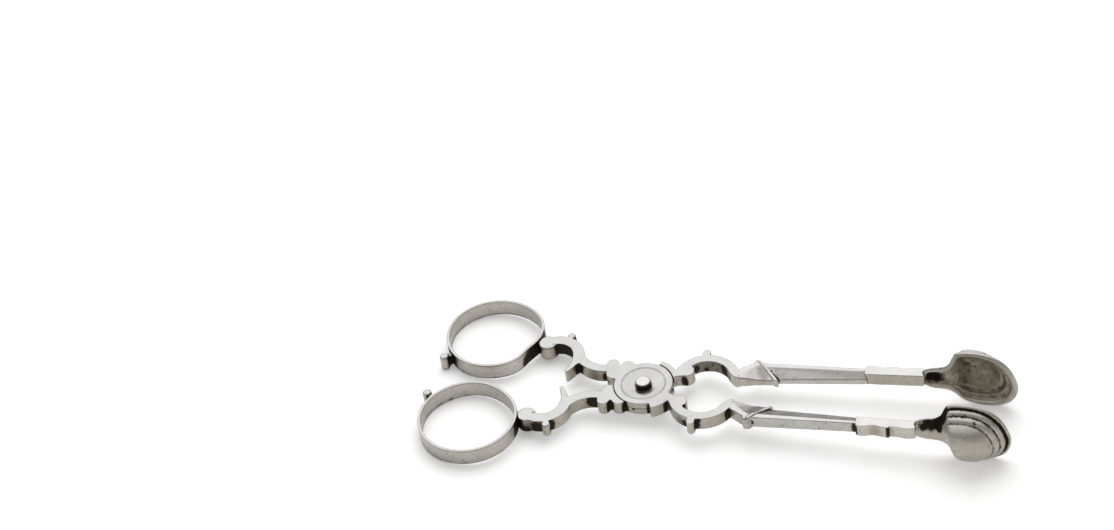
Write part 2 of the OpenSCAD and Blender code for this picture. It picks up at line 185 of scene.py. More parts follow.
def silver(
    name,
    flat,
    wall,
    dull_and_shade=(0.33, 0.295, 0.235),
    pits=0.8,
    grain=0.5,
    shine=(0.20, 0.30),
    reach=2.2,
    level=(0.55, 0.94),
    wiped=1.05,
):
    """Old silver: filed and polished on flats, duller on walls, black where no cloth reaches.

    flat and wall are its colours, and the third is laid on where a piece marks it: painted shade
    on most pieces, a duller tone in the bowls' hollow; pits and grain are how plain the pin holes
    and the cast skin are; shine is the roughness of flats and walls; reach is how wide the black in
    a corner is; level is how level a surface lies when it starts and when it fully counts as a
    flat;
    wiped is how far the cloth has cleared marked black off the flats.
    """
    material, tree, shader = new_material(name)
    place = tree.nodes.new("ShaderNodeTexCoord").outputs["Object"]
    form = tree.nodes.new("ShaderNodeNewGeometry")

    def noise(size, detail):
        spread = tree.nodes.new("ShaderNodeTexNoise")
        spread.inputs["Scale"].default_value = 1 / (size * MM)
        spread.inputs["Detail"].default_value = detail
        tree.links.new(place, spread.inputs["Vector"])
        return spread.outputs["Fac"]

    def marked(layer):
        reader = tree.nodes.new("ShaderNodeAttribute")
        reader.attribute_name = layer
        return reader.outputs["Fac"]

    def times(first, second):
        return sums(tree, "MULTIPLY", first, second)

    def plus(first, second):
        return sums(tree, "ADD", first, second)

    def less(first, second):
        return sums(tree, "SUBTRACT", first, second)

    # A surface counts as a filed flat where it looks straight up or down
    facing = tree.nodes.new("ShaderNodeSeparateXYZ")
    tree.links.new(form.outputs["Normal"], facing.inputs[0])
    filed = between(tree, sums(tree, "ABSOLUTE", facing.outputs["Z"]), *level)
    colour = mixed(tree, filed, wall, flat)
    # The third colour where a piece marks it: painted shade on most pieces, a duller tone in the
    # bowls' hollow
    colour = mixed(tree, marked("dull_and_shade"), colour, dull_and_shade)

    # Handling keeps the proud edges a little brighter than the flats and walls they part
    rubbed = between(tree, form.outputs["Pointiness"], 0.52, 0.60, 0, 0.5)
    colour = mixed(tree, times(rubbed, less(1.0, filed)), colour, flat)
    colour = mixed(tree, times(rubbed, filed), colour, RUBBED_AND_HIGHLIGHT)
    # Painted highlights where a piece marks them: the calyx's raised edge, the glint in a bowl's
    # heel
    colour = mixed(tree, marked("painted_highlight"), colour, RUBBED_AND_HIGHLIGHT)

    # Thin brownish tarnish in broad clouds, and the finer mottling of cast metal
    cloud = between(tree, noise(CLOUD, 5), 0.40, 0.75, 0, 0.36)
    colour = mixed(tree, times(cloud, less(1.0, times(filed, 0.6))), colour, TARNISH)
    mottle = noise(MOTTLE, 5)
    fleck = times(between(tree, mottle, 0.45, 0.80, 0, 0.4), less(1.1, filed))
    colour = mixed(tree, fleck, colour, FLECK)

    # Pin holes left by the casting, in a few cells of the skin only
    skin = tree.nodes.new("ShaderNodeTexVoronoi")
    skin.inputs["Scale"].default_value = 1 / (HOLE_CELL * MM)
    tree.links.new(place, skin.inputs["Vector"])
    chosen = between(tree, skin.outputs["Color"], 0.60, 0.68)
    edge = plus(skin.outputs["Distance"], times(less(noise(HOLE_EDGE, 2), 0.5), 0.5))
    hole = times(chosen, between(tree, edge, 0.03, 0.15, pits, 0))
    hole = times(hole, less(1.12, filed))

    # Black in the corners and thick beside the joints, with a brown fringe round it. The corner
    # measure counts the paper as well, so it also paints shade on the silver where the paper lies
    # near.
    corner = tree.nodes.new("ShaderNodeAmbientOcclusion")
    corner.samples = 12
    corner.inputs["Distance"].default_value = reach * MM
    broad = times(less(noise(CRUST, 3), 0.5), 1.5)
    fine = times(less(noise(CRUST_EDGE, 3), 0.5), 0.9)
    hollows_and_paper_shade = times(less(1.0, corner.outputs["AO"]), less(1.25, times(filed, 0.45)))
    settled = plus(times(marked("black"), less(1.4, times(filed, wiped))), hollows_and_paper_shade)
    crust = plus(settled, times(plus(broad, fine), 0.7))
    colour = mixed(tree, between(tree, crust, 0.25, 0.70, 0, 0.72), colour, FRINGE)
    black = sums(tree, "MAXIMUM", between(tree, crust, 0.55, 0.95), hole)
    colour = mixed(tree, black, colour, mixed(tree, mottle, BLACK_THICK, BLACK_THIN))
    tree.links.new(colour, shader.inputs["Base Color"])
    shader.inputs["Metallic"].default_value = 1.0

    # Smoothest on the flats, in patches, and rough where it is black
    rough = between(tree, filed, 0, 1, shine[1], shine[0])
    rough = plus(rough, between(tree, noise(POLISH, 4), 0.35, 0.7, 0, 0.12))
    tree.links.new(plus(rough, times(black, 0.3)), shader.inputs["Roughness"])

    # Hand-filed waviness, the grain of the skin, and the holes
    height = plus(times(noise(WAVE, 2), 2.6), times(noise(FILE_RIPPLE, 2), 0.5))
    height = plus(height, times(mottle, times(less(1.2, filed), grain)))
    height = less(less(height, times(hole, 1.2)), times(black, 0.25))
    relief = tree.nodes.new("ShaderNodeBump")
    relief.inputs["Strength"].default_value = RELIEF_SHOWS
    relief.inputs["Distance"].default_value = RELIEF * MM
    tree.links.new(height, relief.inputs["Height"])
    tree.links.new(relief.outputs["Normal"], shader.inputs["Normal"])
    return material


def fit(piece, arm, part, finish):
    """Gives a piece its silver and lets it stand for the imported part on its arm."""
    piece.data.materials.clear()
    piece.data.materials.append(finish)
    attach(piece, f"{arm}_arm")
    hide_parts(part)


def band_section(inner, outer, half_h, ease):
    """The strip's section with four eased edges, as (radius, height) pairs."""
    straight = half_h - ease
    corners = (
        (outer - ease, straight, 0),
        (inner + ease, straight, 90),
        (inner + ease, -straight, 180),
        (outer - ease, -straight, 270),
    )
    section = []
    for middle_r, middle_z, start in corners:
        for step in range(EASE_STEPS + 1):
            turn = math.radians(start + 90 / EASE_STEPS * step)
            section.append((middle_r + ease * math.cos(turn), middle_z + ease * math.sin(turn)))
    # Cuts up the tall faces, so that the tarnish and the painted shade line have points to sit on
    cuts = [k / FACE_CUTS for k in range(1, FACE_CUTS)]
    inside = [(inner, straight * (1 - 2 * cut)) for cut in cuts]
    outside = [(outer, straight * (2 * cut - 1)) for cut in cuts]
    half = len(section) // 2
    return section[:half] + inside + section[half:] + outside


def bend_of(arm, turn):
    """How far the band strays outward in the direction turn."""
    stray = RIPPLE_HEIGHT * math.sin(math.radians(RIPPLES * turn))
    for direction, spread, shift in RING_BENDS[arm]:
        apart = (turn - direction + 180) % 360 - 180
        stray += shift * stripe(apart, spread)
    return stray


ring_silver = silver("ring_silver", RING_FLAT, RING_FACE, pits=0.9)
for arm, side in RING_SIDE.items():
    low, high = (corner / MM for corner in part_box(f"{arm}_finger_ring"))
    outer = (high.x - low.x) / 2
    centre = ((low.x + high.x) / 2, (low.y + high.y) / 2)
    section = band_section(outer - RING_WALL, outer, (high.z - low.z) / 2, RING_EASE)
    count = len(section)
    points = []
    for step in range(RING_CUTS):
        turn = 360 * step / RING_CUTS
        stray = bend_of(arm, turn)
        x, y = math.cos(math.radians(turn)), math.sin(math.radians(turn))
        points += [
            (centre[0] + (r + stray) * x, centre[1] + (r + stray) * y, z) for r, z in section
        ]
    faces = [
        (
            step * count + i,
            (step + 1) % RING_CUTS * count + i,
            (step + 1) % RING_CUTS * count + (i + 1) % count,
            step * count + (i + 1) % count,
        )
        for step in range(RING_CUTS)
        for i in range(count)
    ]
    ring = mesh_piece(f"{arm}_ring_band", points, faces)
    outside = np.tile([r > outer - RING_WALL / 2 for r, z in section], RING_CUTS)
    at = points_of(ring.data)
    mark(ring, "black", gathered(at, RING_BLACK, side) * outside)
    # Painted shade in a line below each eased edge
    shade_line_at = (high.z - low.z) / 2 - SHADE_LINE_BELOW
    mark(ring, "dull_and_shade", SHADE_LINE_DARK * stripe(np.abs(at[:, 2]) - shade_line_at, SHADE_LINE_WIDTH))
    fit(ring, arm, f"{arm}_finger_ring", ring_silver)

# Ring buds. Each is a small cast bud on a web, soldered upright to the outer end
# of its ring. Wear has rounded it all over; the web beside it is painted black as the bud's shadow.
BUD_FLAT = (0.80, 0.79, 0.77)
BUD_FACE = (0.44, 0.41, 0.37)
# The bud's painted shadow on the web, black: in from its end, out from the ring's side, and its
# radius
WEB_SHADOW = (0.3, 1.6, 1.5)
# Points this near the end of a casting belong to its soldered end, which is let this far
# into the next piece and is a little slimmer there
AT_END, LET_IN, SLIMMER = 0.01, 0.3, 0.95
# Painted brown shade keeps to walls, whose normals rise less than this, and covers this much
WALL_RISE, SHADE_BROWN_SHARE = 0.6, 0.9


def casting(name, part, grain=0.12, wear=7, swell=0.05, let_in=None):
    """A cast part with worn edges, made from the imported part.

    grain is the size of the skin's cells, wear the passes of smoothing, swell the metal added
    before them; let_in moves the soldered end into the next piece.
    """
    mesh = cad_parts[part].data.copy()
    if let_in:
        moved = let_in(points_of(mesh))
        mesh.vertices.foreach_set("co", (moved * MM).ravel())
    height = max(abs(vertex.co.z) for vertex in mesh.vertices)
    piece = bpy.data.objects.new(name, mesh)
    bpy.context.scene.collection.objects.link(piece)
    # Wear takes metal off the edges, so the part starts a little too stout
    stout = piece.modifiers.new("stout", "DISPLACE")
    stout.strength = swell * MM
    stout.mid_level = 0
    skin = piece.modifiers.new("cast skin", "REMESH")
    skin.mode = "VOXEL"
    skin.voxel_size = grain * MM
    skin.use_smooth_shade = True
    worn = piece.modifiers.new("worn edges", "SMOOTH")
    worn.factor = 0.5
    worn.iterations = wear
    finished = piece.evaluated_get(bpy.context.evaluated_depsgraph_get())
    mesh = bpy.data.meshes.new_from_object(finished)
    mesh.transform(Matrix.Diagonal((1, 1, height / (height + swell * MM), 1)))
    piece.modifiers.clear()
    piece.data = mesh
    return piece


def run_on(points, end, shift):
    """Runs the chosen end points on by shift, a little slimmer, so that no gap shows."""
    middle = points[end].mean(0)
    points[end] = middle + (points[end] - middle) * SLIMMER + shift
    return points


def near_end(p):
    """The points at the end with the smallest x."""
    return p[:, 0] < p[:, 0].min() + AT_END


def far_end(p):
    """The points at the end with the largest x."""
    return p[:, 0] > p[:, 0].max() - AT_END


def shade_browned(piece, spots, side):
    """Paints brown shade on a piece's walls, and leaves its filed flats alone."""
    turned = np.empty(len(piece.data.vertices) * 3)
    piece.data.vertex_normals.foreach_get("vector", turned)
    upright = np.abs(turned.reshape(-1, 3)[:, 2]) < WALL_RISE
    mark(piece, "dull_and_shade", SHADE_BROWN_SHARE * gathered(points_of(piece.data), spots, side) * upright)


bud_silver = silver("bud_silver", BUD_FLAT, BUD_FACE)
for arm, side in RING_SIDE.items():
    bud = casting(f"{arm}_bud", f"{arm}_ring_bud", grain=0.09, wear=9, swell=0.08)
    low, high = (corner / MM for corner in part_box(f"{arm}_ring_bud"))
    end_in, side_out, radius = WEB_SHADOW
    web = (high.x - end_in, min(abs(low.y), abs(high.y)) + side_out, 0, radius)
    # The bud's painted shadow on the web
    mark(bud, "black", gathered(points_of(bud.data), [web], side))
    fit(bud, arm, f"{arm}_ring_bud", bud_silver)

# Handle scrolls. A flat casting in the shape of a C with a knob, a bud, a leaf and
# a stem. The top was filed bright; the walls kept their cast skin, and tarnish
# fills the hollow of the C, the root of the leaf and the end of the stem.
SCROLL_FLAT = (0.80, 0.80, 0.79)
SCROLL_WALL = (0.40, 0.365, 0.315)
# The colour of the painted brown shade on the scrolls' walls
SCROLL_SHADE = (0.075, 0.062, 0.045)
# Points this near the band belong to the knob's soldered side, which is let this far in
KNOB_TOUCH, KNOB_LET_IN = 0.05, 0.4
SCROLL_BLACK = [
    (-24.1, 12.6, -0.2, 1.1), (-22.8, 12.8, -1.4, 0.9), (-20.7, 13.0, -0.2, 1.4),
    (-24.4, 10.0, 0.6, 0.8), (-20.8, 10.6, 0, 1.3), (-19.5, 10.7, 0, 1.4), (-17.9, 9.6, 0, 1.3),
    (-17.2, 8.3, -0.6, 0.9), (-21.2, 10.0, 1.6, 0.35), (-17.4, 13.6, 0.2, 0.5),
    (-17.7, 12.5, 0, 1.2), (-15.9, 5.1, -0.1, 1.1), (-14.6, 5.2, -0.1, 1.1),
    (-9.0, 3.4, -0.2, 0.9), (-12.0, 4.1, -1.5, 0.7), (-10.6, 5.1, 0.5, 1.0),
    (-9.5, 5.2, 0, 1.3),
]
# Painted brown shade further out, in the knob's shade and along the stem
SCROLL_SHADE_BROWN = [
    (-22.6, 13.0, -0.4, 1.5), (-16.2, 4.2, 0.4, 0.9), (-11.0, 3.8, -0.6, 2.0),
    (-19.4, 10.4, 0, 2.6),
]

scroll_silver = silver("scroll_silver", SCROLL_FLAT, SCROLL_WALL, SCROLL_SHADE, reach=2.0)
for arm, side in RING_SIDE.items():
    low, high = (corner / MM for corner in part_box(f"{arm}_finger_ring"))
    band_centre = np.array([low.x + high.x, low.y + high.y]) / 2
    band_radius = (high.x - low.x) / 2

    def scroll_ends(p):
        """Runs the stem on into the pivot plate, and the knob on into the band."""
        run_on(p, far_end(p), (LET_IN, 0, 0))
        ray = p[:, :2] - band_centre
        radius = np.linalg.norm(ray, axis=1)
        touching = radius < band_radius + KNOB_TOUCH
        p[touching, :2] -= KNOB_LET_IN * ray[touching] / radius[touching, None]
        return p

    scroll = casting(f"{arm}_scroll_handle", f"{arm}_handle_scroll", let_in=scroll_ends)
    mark(scroll, "black", gathered(points_of(scroll.data), SCROLL_BLACK, side))
    # Painted brown shade on the walls, in the knob's shade and along the stem
    shade_browned(scroll, SCROLL_SHADE_BROWN, side)
    fit(scroll, arm, f"{arm}_handle_scroll", scroll_silver)

# Pivot plates. Each arm has half of the lap: a disc of half the thickness with
# ears of the full thickness. The upper disc was turned on a lathe, with a groove
# and a dished field; dirt sits in the joint between the discs, and painted shade
# lies in the groove, round the rivet's foot and over the field.
PLATE_FLAT = (0.78, 0.78, 0.775)
PLATE_WALL = (0.40, 0.37, 0.325)
PLATE_SHADE = (0.17, 0.15, 0.12)
# The jaw scroll joins the plate's shoulder along a round of this radius, and points this
# near the round belong to the joint
JAW_JOINT_R = 7.4
JOINT_TOUCH = 0.02
# Round the ear that takes the stem, and round the shoulder that takes the jaw scroll
EAR_BLACK = [
    (-6.4, 5.9, 0.6, 0.9), (-6.4, 5.9, -0.8, 0.9), (-3.0, 5.9, 0.5, 0.8),
    (-3.0, 5.9, -0.9, 0.8), (-1.2, 6.3, -0.1, 0.4), (2.2, 5.8, 0.3, 0.6), (2.2, 5.8, -0.9, 0.6),
    (-7.6, 2.0, 0, 0.9), (-9.2, 4.0, 0, 0.7),
]
SHOULDER_BLACK = [
    (6.6, 0.7, 0, 1.0), (-3.0, 5.9, 0.6, 0.8), (2.3, 6.0, 0.4, 0.5), (2.3, 6.0, -0.8, 0.5),
    (6.0, 5.2, 0.5, 0.9), (6.0, 5.2, -0.8, 0.9),
]
# The lathe's groove in the upper disc and the foot of the rivet each get a ring of painted shade:
# radius, darkness, width. The field inside the groove gets a little painted shade towards the
# finger rings. None of it is below the disc's top.
GROOVE_SHADE = (4.62, 0.4, 0.14)
FOOT_SHADE = (1.75, 0.9, 0.16)
FIELD_SHADE, FIELD_REACH = 0.10, 3
DISC_TOP = 0.5

plate_silver = silver("plate_silver", PLATE_FLAT, PLATE_WALL, PLATE_SHADE, reach=1.8)


def plate_ends(p):
    """Runs the ear on into the stem, and the shoulder on into the jaw scroll."""
    run_on(p, near_end(p), (-LET_IN, 0, 0))
    rim = np.abs(np.hypot(p[:, 0], p[:, 1]) - JAW_JOINT_R) < JOINT_TOUCH
    p[rim, :2] *= 1 + LET_IN / JAW_JOINT_R
    return run_on(p, rim, (0, 0, 0))


for arm, side in RING_SIDE.items():
    plate = casting(
        f"{arm}_plate", f"{arm}_pivot_disc", grain=0.11, wear=3, swell=0, let_in=plate_ends
    )
    at = points_of(plate.data)
    at_ear, at_shoulder = gathered(at, EAR_BLACK, side), gathered(at, SHOULDER_BLACK, -side)
    mark(plate, "black", np.maximum(at_ear, at_shoulder))
    radius = np.hypot(at[:, 0], at[:, 1])
    # Painted shade on the upper disc's top: over the field, in the groove and round the rivet's
    # foot
    shade_on_disc = FIELD_SHADE * np.clip(-at[:, 0] / FIELD_REACH, 0, 1) * (radius < GROOVE_SHADE[0])
    for ring_radius, dark, width in (GROOVE_SHADE, FOOT_SHADE):
        shade_on_disc += dark * stripe(radius - ring_radius, width)
    mark(plate, "dull_and_shade", shade_on_disc * (at[:, 2] > DISC_TOP) * (side > 0))
    fit(plate, arm, f"{arm}_pivot_disc", plate_silver)

# Jaw scrolls. A second flat casting, a wide C with a round eye against the pivot
# plate, a post on its back and a waist that runs into the calyx. Its walls are a
# little brighter than the handle scroll's.
JAW_WALL = (0.44, 0.41, 0.355)
JAW_BLACK = [
    (8.4, 2.6, 0.2, 0.9), (8.4, 2.6, -1.0, 0.8), (9.5, 2.6, -0.8, 0.3), (10.5, 6.4, 0, 0.9),
    (12.2, 7.2, -0.9, 0.7), (13.6, 7.3, 0.6, 0.5), (14.4, 7.0, -0.8, 0.6), (16.3, 6.5, 0, 1.3),
    (17.8, 5.0, -0.5, 0.6), (9.7, 5.7, 0.8, 0.6), (10.1, 9.4, -0.5, 0.8), (12.7, 9.8, 0, 1.2),
    (19.1, 6.2, 0, 1.3), (7.2, 4.5, 0, 0.8), (13.6, 9.8, 1.4, 0.5),
]
# Painted brown shade fills the hollow of the C, and the foot of its post
JAW_SHADE_BROWN = [
    (11.0, 6.6, 0, 1.8), (13.0, 7.0, 0, 2.1), (15.2, 6.8, 0, 2.1), (17.0, 5.9, 0, 1.7),
    (9.5, 8.4, -0.8, 1.4),
]

jaw_silver = silver("jaw_silver", SCROLL_FLAT, JAW_WALL, SCROLL_SHADE, reach=2.0)


def jaw_ends(p):
    """Runs the web on into the pivot plate, and the waist on into the calyx."""
    run_on(p, far_end(p), (LET_IN, 0, 0))
    rim = np.hypot(p[:, 0], p[:, 1]) < JAW_JOINT_R + JOINT_TOUCH
    p[rim, :2] *= 1 - LET_IN / JAW_JOINT_R
    return run_on(p, rim, (0, 0, 0))


for arm, side in RING_SIDE.items():
    scroll = casting(f"{arm}_scroll_jaw", f"{arm}_jaw_scroll", let_in=jaw_ends)
    mark(scroll, "black", gathered(points_of(scroll.data), JAW_BLACK, -side))
    # Painted brown shade in the hollow of the C
    shade_browned(scroll, JAW_SHADE_BROWN, -side)
    fit(scroll, arm, f"{arm}_jaw_scroll", jaw_silver)

# Calyxes. Each is a cast leaf that wraps the root of the shank and ends in a
# raised slanting edge; that edge gets a painted highlight, its hollow painted shade, and the
# step below it, on the shank, a painted black shadow. A bud stands on the outer side.
CALYX_FLAT = (0.86, 0.855, 0.84)
CALYX_WALL = (0.46, 0.43, 0.38)
CALYX_BLACK = [(22.1, 8.7, 0, 0.7)]
# The leaf's hollow, just before the raised edge, gets painted shade, and the edge a painted
# highlight; the spots of both cover this much
CALYX_SHARE = 0.8
CALYX_SHADE = [(24.4, 5.6, 1.0, 1.2), (25.2, 4.7, 0.4, 1.1), (24.0, 6.6, 1.4, 0.9)]
CALYX_HIGHLIGHT = [
    (24.5, 7.2, 1.6, 0.5), (25.1, 6.6, 1.6, 0.5), (25.8, 5.9, 1.4, 0.5), (26.4, 5.3, 1.1, 0.5),
    (27.0, 4.7, 0.8, 0.5), (27.5, 4.2, 0.4, 0.5),
]

calyx_silver = silver(
    "calyx_silver", CALYX_FLAT, CALYX_WALL, grain=0.25, reach=1.6, level=(0.84, 0.98)
)


def calyx_end(p):
    """Runs the calyx on into the jaw scroll's waist."""
    return run_on(p, near_end(p), (-LET_IN, 0, 0))


for arm, side in RING_SIDE.items():
    leaf = casting(
        f"{arm}_calyx_leaf", f"{arm}_calyx", grain=0.10, wear=14, swell=0.09, let_in=calyx_end
    )
    at = points_of(leaf.data)
    mark(leaf, "black", gathered(at, CALYX_BLACK, -side))
    # Painted shade in the leaf's hollow, and a painted highlight along its raised edge
    mark(leaf, "dull_and_shade", CALYX_SHARE * gathered(at, CALYX_SHADE, -side))
    mark(leaf, "painted_highlight", CALYX_SHARE * gathered(at, CALYX_HIGHLIGHT, -side))
    fit(leaf, arm, f"{arm}_calyx", calyx_silver)

# Shanks. Each is a straight forged blade, thick outside and thin inside, that
# tapers to the socket. Its root is let into the calyx and its tip into the socket.
SHANK_FLAT = (0.88, 0.88, 0.87)
SHANK_FACE = (0.50, 0.485, 0.46)
ROOT_LET_IN, TIP_LET_IN = 0.5, 0.4
# The first four spots paint the calyx edge's shadow black on the shank's face; the rest are black
# at its joints
SHANK_SHADOW_AND_BLACK = [
    (26.2, 5.9, 1.0, 0.6), (27.0, 5.2, 0.6, 0.6), (27.7, 4.6, 0.1, 0.6), (27.9, 5.2, 1.5, 0.6),
    (45.9, 8.7, 0.6, 0.8), (45.9, 8.7, -0.7, 0.8), (24.6, 8.4, 0, 0.4),
]

shank_silver = silver(
    "shank_silver", SHANK_FLAT, SHANK_FACE, grain=0.3, reach=1.4, level=(0.88, 0.985)
)


def shank_ends(p):
    """Runs the root on into the calyx and the tip on into the socket."""
    run_on(p, far_end(p), (TIP_LET_IN, 0, 0))
    root = p[:, 0] < (p[:, 0].min() + p[:, 0].max()) / 2
    p[root, 0] -= ROOT_LET_IN
    return p


for arm, side in RING_SIDE.items():
    blade = casting(f"{arm}_blade", f"{arm}_shank", grain=0.14, wear=4, let_in=shank_ends)
    # Painted shadow below the calyx edge, and black at the joints
    mark(blade, "black", gathered(points_of(blade.data), SHANK_SHADOW_AND_BLACK, -side))
    fit(blade, arm, f"{arm}_shank", shank_silver)

# Sockets. A moulded block with one step in its outer side, soldered between shank
# and bowl. The top is the brightest flat of the whole arm.
SOCKET_FLAT = (0.93, 0.925, 0.91)
SOCKET_FACE = (0.54, 0.52, 0.475)
SOCKET_BLACK = [
    (46.3, 8.7, 0.6, 0.5), (46.3, 8.7, -0.7, 0.5), (46.3, 7.0, 0.8, 0.4), (52.9, 8.9, 1.0, 0.5),
    (52.9, 8.9, 0, 0.5), (52.9, 8.9, -1.0, 0.5),
]
# Painted brown shade lies in the hollow of the moulding, on the step, and on the whole inner side
SOCKET_SHADE_BROWN = [(50.2, 9.0, 0, 1.5), (53.5, 9.0, 0, 0.9)]
SOCKET_SHADE_BROWN += [(47.6 + 2 * k, 5.2, 0, 2.1) for k in range(6)]

socket_silver = silver("socket_silver", SOCKET_FLAT, SOCKET_FACE, grain=0.4, reach=1.0)
for arm, side in RING_SIDE.items():
    block = casting(f"{arm}_block", f"{arm}_socket", grain=0.11, wear=6, swell=0.06)
    mark(block, "black", gathered(points_of(block.data), SOCKET_BLACK, -side))
    # Painted brown shade on the walls
    shade_browned(block, SOCKET_SHADE_BROWN, -side)
    fit(block, arm, f"{arm}_socket", socket_silver)

# Bowls. Each is one thin casting, a scoop stepped like a clam shell whose neck is
# soldered into the socket. The lip is bright, the groove behind it black, and the
# hollow side darker and browner.
BOWL_FLAT = (0.84, 0.825, 0.78)
BOWL_FACE = (0.485, 0.46, 0.405)
BOWL_DULL = (0.46, 0.415, 0.335)
BOWL_DEPTH, NECK_DEPTH = 6.3, 1.95
# Rim in the upright plane: distance from the socket, height, share of the bowl
RIM = [
    (-0.5, 0.2, 0), (-0.1, 2.0, 0), (1.4, 2.95, 0), (3.8, 3.35, 0), (5.2, 4.3, 0.08),
    (6.0, 6.1, 0.4), (6.9, 7.45, 0.86), (9.4, 7.8, 1), (12.8, 7.35, 1), (15.8, 5.8, 1),
    (18.1, 2.9, 1), (19.4, -1.3, 1), (18.5, -4.7, 1), (16.2, -6.4, 1), (13.2, -6.75, 1),
    (10.3, -6.4, 1), (8.0, -5.5, 0.86), (6.8, -4.3, 0.4), (5.5, -3.2, 0.08), (3.9, -2.75, 0),
    (1.6, -2.5, 0), (-0.1, -1.5, 0),
]
# Steps between two points of the rim, and passes of wear over the walls below
RIM_CUTS, WALL_WEAR = 8, 2
# Walls from the middle of the outside round the lip to the middle of the inside:
# shares of the way inward and of the depth, for the bowl and for the neck
WALLS = [
    (0.97, 1.0, 0.97, 1), (0.8, 1.0, 0.9, 1), (0.62, 0.95, 0.8, 0.97), (0.47, 0.85, 0.68, 0.93),
    (0.36, 0.67, 0.56, 0.87), (0.33, 0.56, 0.52, 0.82), (0.23, 0.5, 0.44, 0.72),
    (0.21, 0.34, 0.4, 0.62), (0.12, 0.3, 0.33, 0.46), (0.1, 0.15, 0.3, 0.28),
    (0, 0.14, 0, 0.26), (0, 0, 0, 0), (0.12, 0, 0.34, 0), (0.15, 0.179, 0.4, 0.18),
    (0.25, 0.223, 0.48, 0.28), (0.27, 0.384, 0.54, 0.38), (0.37, 0.438, 0.6, 0.46),
    (0.4, 0.509, 0.64, 0.51), (0.51, 0.67, 0.74, 0.56), (0.66, 0.777, 0.84, 0.59),
    (0.82, 0.839, 0.92, 0.62), (0.97, 0.85, 0.98, 0.62),
]
# The lip's place along WALLS, and the places between which the brown of the hollow begins
LIP = 11
HOLLOW_FROM, HOLLOW_FULL = 12.2, 13
# Where the walls lead inward: the bowl's middle, and the neck's middle line
BOWL_MIDDLE = (8.9, 0.1)
NECK_SPAN = (1.3, 6.4)
NECK_MIDDLE = 0.25
# The heel leans towards the neck by this share of the depth: full from the first distance or
# height on, none beyond the second
HEEL_LEAN, HEEL_ALONG, HEEL_UP = 0.15, (8, 12), (-1.5, -5.5)
# The neck's outside is let into the socket: how far, the distance from the socket where that
# ends, and the places along WALLS that it takes to begin outside the lip
NECK_LET_IN, NECK_ENDS, NECK_OUTSIDE = 0.5, 3, 4
# Black lines along the walls: place along WALLS, darkness, width. Outside they are the groove
# behind the lip, the pitted step and the dome's crease, all fainter near the bottom.
OUTSIDE_LINES = [(9.1, 1.15, 0.45), (7.0, 0.62, 0.35), (5.0, 0.75, 0.18)]
INSIDE_LINE = (15.2, 0.42, 0.4)
FAINT_BELOW, FAINT_SHARE = (-5.5, -2.5), (0.25, 1)
# Painted shade in the recess along the neck's upper side, then pits on the terraces
OUTSIDE_SHADE_AND_PITS = [
    (59.3, 8.6, 2.7, 0.8), (60.4, 8.6, 2.6, 1.1), (61.6, 8.6, 2.7, 1.2), (62.8, 8.6, 3.2, 1.3),
    (63.8, 8.6, 4.2, 1.3), (64.4, 8.5, 5.4, 1.1), (64.7, 8.4, 6.6, 0.8), (60.0, 9.2, 1.7, 0.5),
    (63.6, 9.2, 2.0, 0.7), (66.2, 9.6, 6.2, 0.35), (68.2, 9.6, 6.3, 0.35),
    (70.9, 10.5, 5.9, 0.6), (74.0, 11.0, 4.8, 0.7),
]
INSIDE_BLACK = [
    (59.2, 8.9, 0.1, 1.8), (60.5, 9.2, -0.3, 1.9), (62.0, 9.5, -0.7, 1.6),
    (64.0, 9.2, -3.0, 0.3), (67.2, 12.6, -2.8, 0.3), (71.0, 12.8, -4.2, 0.3),
    (73.0, 12.0, 2.6, 0.3),
]
# The hollow side is a little darker and browner all over, and its spots are not quite black;
# where the hollow turns into the neck a glint is painted in, a little brighter
HOLLOW_SHARE, INSIDE_SHARE = 0.27, 0.85
HEEL_GLINT = [(64.6, 9.5, -2.3, 0.9), (65.5, 9.6, -3.3, 0.7)]
HEEL_GLINT_SHARE = 0.7


def eased_loop(points, cuts):
    """A smooth closed curve through points, each span cut into equal steps."""
    p = np.asarray(points)
    a, b, c, d = (np.roll(p, shift, 0)[:, None] for shift in (1, 0, -1, -2))
    t = (np.arange(cuts) / cuts)[None, :, None]
    bend, twist = 2 * a - 5 * b + 4 * c - d, 3 * b - a - 3 * c + d
    curve = 0.5 * (2 * b + (c - a) * t + bend * t**2 + twist * t**3)
    return curve.reshape(-1, p.shape[1])


def worn_row(rows, passes):
    """Cuts the corners of an open row of values, as wear does."""
    p = np.asarray(rows)
    for _ in range(passes):
        near, far = 0.75 * p[:-1] + 0.25 * p[1:], 0.25 * p[:-1] + 0.75 * p[1:]
        p = np.concatenate([p[:1], np.stack([near, far], 1).reshape(-1, p.shape[1]), p[-1:]])
    return p


def fall(value, full, none):
    """1 at full and before it, 0 at none and beyond it, and even between them."""
    return np.clip((none - value) / (none - full), 0, 1)


bowl_silver = silver(
    "bowl_silver",
    BOWL_FLAT,
    BOWL_FACE,
    BOWL_DULL,
    pits=1.0,
    grain=0.8,
    shine=(0.42, 0.50),
    reach=0.8,
    wiped=0.2,
)
rim = eased_loop(RIM, RIM_CUTS)
rim[:, 2] = np.clip(rim[:, 2], 0, 1)
count = len(rim)
